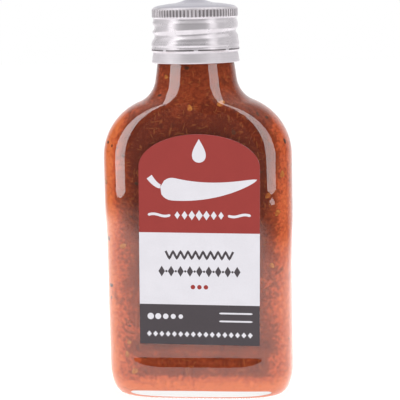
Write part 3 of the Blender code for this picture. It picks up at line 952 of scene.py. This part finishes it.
def dark_print():
    """What is printed dark on the white field: a sawtooth line and a row of lozenges and dots."""
    shapes = [zigzag(-10.9 * MM, 10.9 * MM, 46.7 * MM, 49.2 * MM, 9, 0.36 * MM)]
    for i in range(-4, 5):
        shapes.append(lozenge(mm_pair(3.05 * i, 42.6), 1.05 * MM, 1.75 * MM))
    for i in range(-4, 4):
        shapes.append(disc(mm_pair(3.05 * (i + 0.5), 42.6), 0.36 * MM))
    return shapes


def red_print():
    """Three small red dots under the dark rows."""
    return [disc(mm_pair(2.1 * i, 37.5), 0.72 * MM) for i in (-1, 0, 1)]


def print_piece(name, shapes, flask, label, material, lift):
    """One thin mesh of all the shapes, standing a hair's breadth in front of the paper."""
    points, quads, count = [], [], 0
    for shape in shapes:
        u, w = shape[..., 0], shape[..., 1]
        front = on_label(flask, label, u, w, lift + PRINT_THICKNESS)
        back = on_label(flask, label, u, w, lift)
        some, faces, _ = thin_solid(front, back)
        facing = np.cross(front[1, 0] - front[0, 0], front[0, 1] - front[0, 0])
        if facing[1] < 0.0:
            faces = faces[:, ::-1]
        points.append(some)
        quads.append(faces + count)
        count += len(some)
    return add_piece(name, np.concatenate(points), np.concatenate(quads), [], [material])


def cap_profile():
    """Radius and height in millimetres of named points down the outside of the cap to its lower edge."""
    top = [(0.3, 129.6), (1.6, 129.57), (2.6, 129.43), (3.4, 129.15), (4.4, 128.8), (5.6, 128.42),
           (8.2, 128.1), (10.4, 127.76), (12.1, 127.46), (13.15, 127.08), (13.7, 126.65)]
    grip = [(13.93, 126.3), (13.95, 125.9), (13.95, 124.3), (13.9, 123.9), (13.62, 123.65), (13.42, 123.4)]
    thread = [(13.4, 123.2), (13.47, 122.9), (13.64, 122.45), (13.82, 122.0), (13.88, 121.6),
              (13.9, 119.0), (13.92, 116.7)]
    belly = [(14.04, 116.1), (14.2, 115.6), (14.28, 115.1), (14.2, 114.7), (14.06, 114.3),
             (14.16, 114.05)]
    tear = [(14.3, 113.75), (14.3, 113.3), (14.1, 112.95), (13.79, 112.6), (13.75, 112.35)]
    band = [(13.84, 111.95), (13.96, 111.4), (14.04, 110.8), (14.1, 110.2), (14.24, 109.75),
            (14.14, 109.3)]
    under = [(13.95, 109.2), (13.75, 109.24), (13.62, 109.5)]
    return top + grip + thread + belly + tear + band + under


def cap_rows():
    """The profile's points at even steps along its length.

    Between two named points the row is the cubic with a slope of its own at each. A slope is at most
    2.5 times the chord's, and none where the two differ in sign.
    """
    keys = np.array(cap_profile())
    length = np.concatenate([[0.0], np.cumsum(np.hypot(*np.diff(keys, axis=0).T))])
    at = np.linspace(0.0, length[-1], int(length[-1] / CAP_ROW_STEP))
    slope = np.gradient(keys, length, axis=0)
    span = np.diff(length)
    i = np.clip(np.searchsorted(length, at, side="right") - 1, 0, len(span) - 1)
    s = ((at - length[i]) / span[i])[:, None]
    h = span[i][:, None]
    chord = (keys[i + 1] - keys[i]) / h
    most = 2.5 * np.abs(chord)
    first, last = (
        np.where(np.sign(side) == np.sign(chord), np.clip(side, -most, most), 0.0)
        for side in (slope[i], slope[i + 1]))
    rows = (keys[i] * (1 + 2 * s) * (1 - s) ** 2 + first * h * s * (1 - s) ** 2
            + keys[i + 1] * s**2 * (3 - 2 * s) + last * h * s**2 * (s - 1))
    return rows[:, 0] * MM, rows[:, 1] * MM


def thread_press(cap, turn, z):
    """Depth of the rolled groove: cos^2 across a right-handed helix that fades in and out at its ends."""
    depth = np.zeros(np.broadcast(turn, z).shape)
    since = (turn - THREAD_START_TURN) % 1.0
    for lap in range(int(THREAD_TURNS) + 1):
        along = since + lap
        away = np.abs(z - THREAD_START_Z - THREAD_PITCH * along) / (0.5 * THREAD_WIDTH)
        left = np.clip(np.minimum(along, THREAD_TURNS - along) / THREAD_FADE, 0.0, 1.0)
        groove = np.cos(0.5 * np.pi * np.clip(away, 0.0, 1.0)) ** 2 * np.sin(0.5 * np.pi * left) ** 2
        depth = np.maximum(depth, cap.thread_depth * groove)
    return depth


def knurl_press(cap, turn, z):
    """Depth between the ribs: half a cosine wave for each rib, let in between the grip's two edges."""
    wave = (0.5 - 0.5 * np.cos(2.0 * np.pi * cap.ribs * turn)) ** 0.8
    inside = smooth_step(z, KNURL_LOW_Z, KNURL_LOW_Z + 0.35 * MM)
    inside = inside * (1.0 - smooth_step(z, KNURL_HIGH_Z - 0.2 * MM, KNURL_HIGH_Z + 0.15 * MM))
    return cap.rib_depth * wave * inside


def slit_press(cap, turn, z):
    """Depth of the tear line: a narrow groove that its bridges interrupt."""
    half = 0.5 * cap.slit_height
    inside = 1.0 - smooth_step(np.abs(z - SLIT_Z), 0.55 * half, 1.1 * half)
    bridge = 0.5 * BRIDGE_WIDTH / KNURL_RADIUS / (2.0 * np.pi)
    place = (turn * cap.bridges - FIRST_BRIDGE + 0.5) % 1.0 - 0.5
    away = np.abs(place) / cap.bridges
    return cap.slit_depth * inside * smooth_step(away, 0.8 * bridge, 1.15 * bridge)


def with_slit_rows(radius, z):
    """The outside's rows with those near the tear line replaced by finer ones, from above to below it."""
    slit_z = (np.arange(-0.3, 0.31, 0.06) * MM + SLIT_Z)[::-1]
    outside = np.arange(len(z)) < np.argmin(np.abs(z - BAND_EDGE_Z) + (radius < BAND_EDGE_RADIUS))
    near = outside & (np.abs(z - SLIT_Z) < 0.31 * MM)
    first = np.argmax(near)
    slit_radius = np.interp(-slit_z, -z[outside], radius[outside])
    rest = ~near[first:]
    radius = np.concatenate([radius[:first], slit_radius, radius[first:][rest]])
    return radius, np.concatenate([z[:first], slit_z, z[first:][rest]])


def cap_grid(cap):
    """Rings of the cap: the turned profile pressed in by the groove, the grip's ribs and the tear line.

    The rows go down the outside and up the plain inside. Only the outside is pressed in.
    """
    columns = cap.ribs * CAP_COLUMNS_PER_RIB
    radius, z = with_slit_rows(*cap_rows())
    inner_r = np.array([13.4, 13.4, 12.9, 12.85, 12.85, 12.65, 12.2, 7.0, 0.5]) * MM
    inner_z = np.array([110.5, 114.4, 115.6, 117.0, 125.6, 126.1, 126.3, 126.3, 126.3]) * MM
    count = len(z)
    radius, z = np.concatenate([radius, inner_r]), np.concatenate([z, inner_z])
    turn = (np.arange(columns) + 0.5)[None, :] / columns
    height = z[:, None]
    skin = (np.arange(len(z)) < count)[:, None] & (radius[:, None] > SKIN_LEAST_RADIUS)
    press = thread_press(cap, turn, height) + knurl_press(cap, turn, height) + slit_press(cap, turn, height)
    r = radius[:, None] - np.where(skin, press, 0.0)
    angle = 2.0 * np.pi * turn
    return r * np.cos(angle), r * np.sin(angle), height + 0.0 * r


# Operators


class BOTTLE_OT_flask(bpy.types.Operator):
    """Make the clear glass flask"""

    bl_idname = "bottle.flask"
    bl_label = "Glass Flask"

    def execute(self, context):
        flask = context.scene.bottle_flask
        points, quads, triangles = closed_stack(*glass_rings(flask))
        piece = add_piece("flask_glass", points, quads, triangles, [glass_material(flask)])
        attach(piece, "root")
        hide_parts("bottle")
        return {"FINISHED"}


class BOTTLE_OT_sauce(bpy.types.Operator):
    """Make the sauce that fills the flask"""

    bl_idname = "bottle.sauce"
    bl_label = "Sauce"

    def execute(self, context):
        flask, sauce = context.scene.bottle_flask, context.scene.bottle_sauce
        points, quads, triangles = closed_stack(*sauce_rings(flask, sauce))
        material = sauce_material(sauce, context.scene.bottle_label)
        piece = add_piece("sauce_fill", points, quads, triangles, [material])
        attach(piece, "root")
        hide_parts("sauce")
        return {"FINISHED"}


class BOTTLE_OT_bits(bpy.types.Operator):
    """Scatter chilli seeds, dark flecks and pale fibres in the sauce's surface"""

    bl_idname = "bottle.bits"
    bl_label = "Seeds, Flecks and Fibres"

    def execute(self, context):
        flask, sauce = context.scene.bottle_flask, context.scene.bottle_sauce
        rng = np.random.default_rng(sauce.random_seed)
        kinds = (
            ("chilli_seeds", sauce.seeds, bead(7, 10, 0.35, 0.34), sauce.seed_length / BEAD_LENGTH, 0.16,
             bit_material("seed_skin", (0.56, 0.20, 0.042), (0.40, 0.10, 0.022), 0.4)),
            ("dark_flecks", sauce.flecks, bead(5, 8, 0.1, 0.25), 1.0 * MM, 0.45,
             bit_material("dark_skin", (0.075, 0.024, 0.012), (0.13, 0.036, 0.016), 0.5)),
            ("pale_fibres", sauce.fibres, bead(7, 5, 0.0, 0.8), 1.9 * MM, 0.30,
             bit_material("fibre_skin", (0.42, 0.125, 0.035), (0.29, 0.062, 0.02), 0.5)),
        )
        for name, count, grid, size, variation, material in kinds:
            turn = rng.random(count)
            height = BITS_LOW_Z + BITS_SPAN_Z * rng.random(count)
            places, normals = sauce_spots(flask, sauce, turn, height)
            sizes = size * (1.0 + variation * rng.uniform(-1.0, 1.0, count))
            shape = bead_points(grid)
            if name == "pale_fibres":
                shape = shape * np.array(FIBRE_SHAPE)
                shape[:, 0] += FIBRE_BEND * (shape[:, 1] ** 2 - 0.25)
            turns = 2.0 * np.pi * rng.random(count)
            copies = scattered(shape, places, normals, turns, sizes)
            piece = scatter_piece(name, grid, copies, material)
            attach(piece, "root")
        return {"FINISHED"}


class BOTTLE_OT_label(bpy.types.Operator):
    """Make the arched paper label and its plain printed shapes"""

    bl_idname = "bottle.label"
    bl_label = "Paper Label"

    def execute(self, context):
        flask, label = context.scene.bottle_flask, context.scene.bottle_label
        u, w, (dark_rows, white_rows, red_rows) = label_grid()
        front = on_label(flask, label, u, w, PAPER_GAP + label.thickness)
        back = on_label(flask, label, u, w, PAPER_GAP)
        points, quads, count = thin_solid(front, back)
        across = u.shape[1] - 1
        field = np.repeat([2, 1, 0], np.array([dark_rows, white_rows, red_rows]) * across)
        edge = np.full(len(quads) - 2 * count, 1)
        faces = np.concatenate([field, np.full(count, 1), edge])
        inks = ("red", label.red), ("white", label.white), ("dark", label.dark)
        papers = [paper_material(f"paper_{name}", colour) for name, colour in inks]
        piece = add_piece("label_sheet", points, quads, [], papers, faces)
        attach(piece, "root")
        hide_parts("label")
        lift = PAPER_GAP + label.thickness + PRINT_GAP
        for name, shapes, paper in (
                ("label_light_print", light_print(), papers[1]),
                ("label_dark_print", dark_print(), papers[2]),
                ("label_red_print", red_print(), papers[0])):
            print_mesh = print_piece(name, shapes, flask, label, paper, lift)
            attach(print_mesh, "root")
        return {"FINISHED"}


class BOTTLE_OT_cap(bpy.types.Operator):
    """Make the rolled aluminium screw cap with its tear band"""

    bl_idname = "bottle.cap"
    bl_label = "Screw Cap"

    def execute(self, context):
        cap = context.scene.bottle_cap
        x, y, z = cap_grid(cap)
        points, quads, triangles = closed_stack(x[::-1], y[::-1], z[::-1])
        piece = add_piece("screw_cap", points, quads, triangles, [metal_material(cap)], sharp_degrees=70.0)
        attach(piece, "root")
        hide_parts("cap")
        return {"FINISHED"}


def softbox(name, centre, target, width, height, power):
    """A soft rectangular lamp that faces its target."""
    lamp = bpy.data.lights.new(name, "AREA")
    lamp.shape = "RECTANGLE"
    lamp.size = width
    lamp.size_y = height
    lamp.energy = power
    item = bpy.data.objects.new(name, lamp)
    bpy.context.scene.collection.objects.link(item)
    item.location = centre
    item.rotation_euler = (Vector(target) - Vector(centre)).to_track_quat("-Z", "Y").to_euler()
    item.visible_camera = False
    return item


def stage_plane(name, x0, x1, y0, y1, z, material):
    """A level rectangle of the stage."""
    points = np.array([[x0, y0, z], [x1, y0, z], [x1, y1, z], [x0, y1, z]])
    plane = add_piece(name, points, [[0, 1, 2, 3]], [], [material])
    return plane


class BOTTLE_OT_stage(bpy.types.Operator):
    """Make the camera, the soft lights and the pale floor"""

    bl_idname = "bottle.stage"
    bl_label = "Stage"

    def execute(self, context):
        stage = context.scene.bottle_stage
        self.add_camera(context, stage)
        cap = bpy.data.objects["screw_cap"]
        glass = self.only("glass_light", [item for item in bpy.data.objects if item != cap])
        metal = self.only("cap_light", [cap])
        self.add_floor()
        self.add_shine("glass_sheen", -0.0005, 2.3, glass)
        self.add_shine("cap_sheen", -0.0010, stage.cap_sheen, metal)
        self.add_lights(stage, glass, metal)
        self.add_world(context.scene)
        context.scene.view_settings.view_transform = "Standard"
        return {"FINISHED"}

    def add_camera(self, context, stage):
        """A camera at the photograph's place: turned right of the front, pitched down and rolled."""
        data = bpy.data.cameras.new("camera")
        data.lens = stage.lens
        data.sensor_width = 36.0
        data.shift_x = 0.005
        data.shift_y = -0.081
        data.clip_start = 0.01
        camera = bpy.data.objects.new("camera", data)
        bpy.context.scene.collection.objects.link(camera)
        camera.location = (
            stage.distance * math.sin(stage.turn), -stage.distance * math.cos(stage.turn), stage.height)
        turned = (Matrix.Rotation(stage.turn, 4, "Z") @ Matrix.Rotation(0.5 * math.pi - stage.pitch, 4, "X")
                  @ Matrix.Rotation(-stage.roll, 4, "Z"))
        camera.rotation_euler = turned.to_euler()
        context.scene.camera = camera

    def add_floor(self):
        """A pale floor that reflections don't see."""
        material, tree = new_material("pale_floor")
        set_surface(tree, node(tree, "ShaderNodeBsdfPrincipled", inputs={
            "Base Color": (0.34, 0.34, 0.34, 1.0), "Roughness": 0.9, "Specular IOR Level": 0.0,
            "Emission Color": (1.0, 1.0, 1.0, 1.0), "Emission Strength": 0.76}))
        floor = stage_plane("floor", -1.5, 1.5, -1.5, 2.0, 0.0, material)
        floor.visible_glossy = False

    def add_shine(self, name, z, most, receivers):
        """A bright sheet just under the floor that only reflections see, brightest round the flask."""
        shine, tree = new_material(name)
        away = node(tree, "ShaderNodeVectorMath", operation="DISTANCE", inputs={
            0: object_place(tree), 1: SHEEN_MIDDLE}).outputs["Value"]
        strength = spread(Number(tree, away), SHEEN_DIM_REACH, SHEEN_BRIGHT_REACH, SHEEN_LEAST, most)
        glow = node(tree, "ShaderNodeEmission", inputs={"Strength": strength})
        clear = node(tree, "ShaderNodeBsdfTransparent")
        set_surface(tree, node(tree, "ShaderNodeAddShader", inputs={
            0: glow.outputs[0], 1: clear.outputs[0]}))
        sheet = stage_plane(name, -1.2, 1.2, -1.2, 1.2, z, shine)
        sheet.light_linking.receiver_collection = receivers
        sheet.visible_camera = False
        sheet.visible_diffuse = False
        sheet.visible_shadow = False
        sheet.visible_transmission = False

    def add_lights(self, stage, glass, metal):
        """Two tall soft lights in front to the sides for the glass, four dimmer ones for the cap.

        A wide one above lights everything and isn't mirrored.
        """
        strips = (
            ("left_strip", -62.5, 0.292, glass, 1.15), ("right_strip", 50.5, 0.239, glass, 0.9),
            ("left_cap_strip", -65.0, 0.204, metal, stage.cap_share),
            ("right_cap_strip", 49.0, 0.167, metal, stage.cap_share),
            ("left_cap_fill", -108.0, 0.45, metal, CAP_FILL * stage.cap_share),
            ("right_cap_fill", 98.0, 0.45, metal, CAP_FILL * stage.cap_share))
        target = (0.0, 0.0, STRIP_MIDDLE_Z)
        for name, angle, width, receivers, share in strips:
            azimuth = stage.turn + math.radians(angle)
            x, y = STRIP_DISTANCE * math.sin(azimuth), -STRIP_DISTANCE * math.cos(azimuth)
            power = share * stage.strip_power * width
            strip = softbox(name, (x, y, STRIP_MIDDLE_Z), target, width, STRIP_HEIGHT, power)
            strip.visible_diffuse = False
            strip.light_linking.receiver_collection = receivers
        top = softbox("top_light", (0.0, 0.15, 0.75), (0.0, 0.0, 0.05), 0.9, 0.7, stage.top_power)
        top.visible_glossy = False

    def only(self, name, pieces):
        """A collection of the pieces that a lamp lights."""
        group = bpy.data.collections.new(name)
        for piece in pieces:
            group.objects.link(piece)
        return group

    def add_world(self, scene):
        """White for the camera and for soft light. Mirrors see it bright behind and above, dim in front."""
        world = bpy.data.worlds.new("studio")
        scene.world = world
        world.use_nodes = True
        tree = world.node_tree
        tree.nodes.clear()
        _, y, z = parts_of(tree, node(tree, "ShaderNodeTexCoord").outputs["Generated"])
        mirrored = largest(spread(z, 0.3, 0.95, 0.10, 0.75), spread(y, 0.45, 0.97, 0.0, 0.9))
        path = node(tree, "ShaderNodeLightPath")
        soft = math_node(tree, "MAXIMUM", path.outputs["Is Camera Ray"], path.outputs["Is Diffuse Ray"])
        strength = node(tree, "ShaderNodeMix", data_type="FLOAT", inputs={0: soft, 2: mirrored, 3: 1.0})
        set_surface(tree, node(tree, "ShaderNodeBackground", inputs={
            "Color": (1.0, 1.0, 1.0, 1.0), "Strength": strength.outputs[0]}))


class BOTTLE_PT_panel(bpy.types.Panel):
    """Lists the pieces of the bottle and their settings"""

    bl_label = "Hot Sauce Bottle"
    bl_idname = "BOTTLE_PT_panel"
    bl_space_type = "VIEW_3D"
    bl_region_type = "UI"
    bl_category = "Bottle"

    def draw(self, context):
        for operator in OPERATORS:
            self.layout.operator(operator.bl_idname, text=operator.bl_label)
        for name, settings in SETTINGS:
            box = self.layout.box()
            box.label(text=settings.__doc__)
            group = getattr(context.scene, name)
            for key in settings.__annotations__:
                box.prop(group, key)


SETTINGS = (
    ("bottle_flask", FlaskSettings),
    ("bottle_sauce", SauceSettings),
    ("bottle_label", LabelSettings),
    ("bottle_cap", CapSettings),
    ("bottle_stage", StageSettings),
)
OPERATORS = (
    BOTTLE_OT_flask, BOTTLE_OT_sauce, BOTTLE_OT_bits, BOTTLE_OT_label, BOTTLE_OT_cap, BOTTLE_OT_stage)


def register():
    """Add the settings to every scene, and the operators and the panel to Blender."""
    for name, settings in SETTINGS:
        bpy.utils.register_class(settings)
        setattr(bpy.types.Scene, name, PointerProperty(type=settings))
    for item in (*OPERATORS, BOTTLE_PT_panel):
        bpy.utils.register_class(item)


def unregister():
    """Take out again what register added."""
    for item in (BOTTLE_PT_panel, *reversed(OPERATORS)):
        bpy.utils.unregister_class(item)
    for name, settings in reversed(SETTINGS):
        delattr(bpy.types.Scene, name)
        bpy.utils.unregister_class(settings)


def main():
    """Make the pieces and the stage."""
    register()
    bpy.ops.bottle.flask()
    bpy.ops.bottle.sauce()
    bpy.ops.bottle.bits()
    bpy.ops.bottle.label()
    bpy.ops.bottle.cap()
    bpy.ops.bottle.stage()


if __name__ == "__main__":
    main()
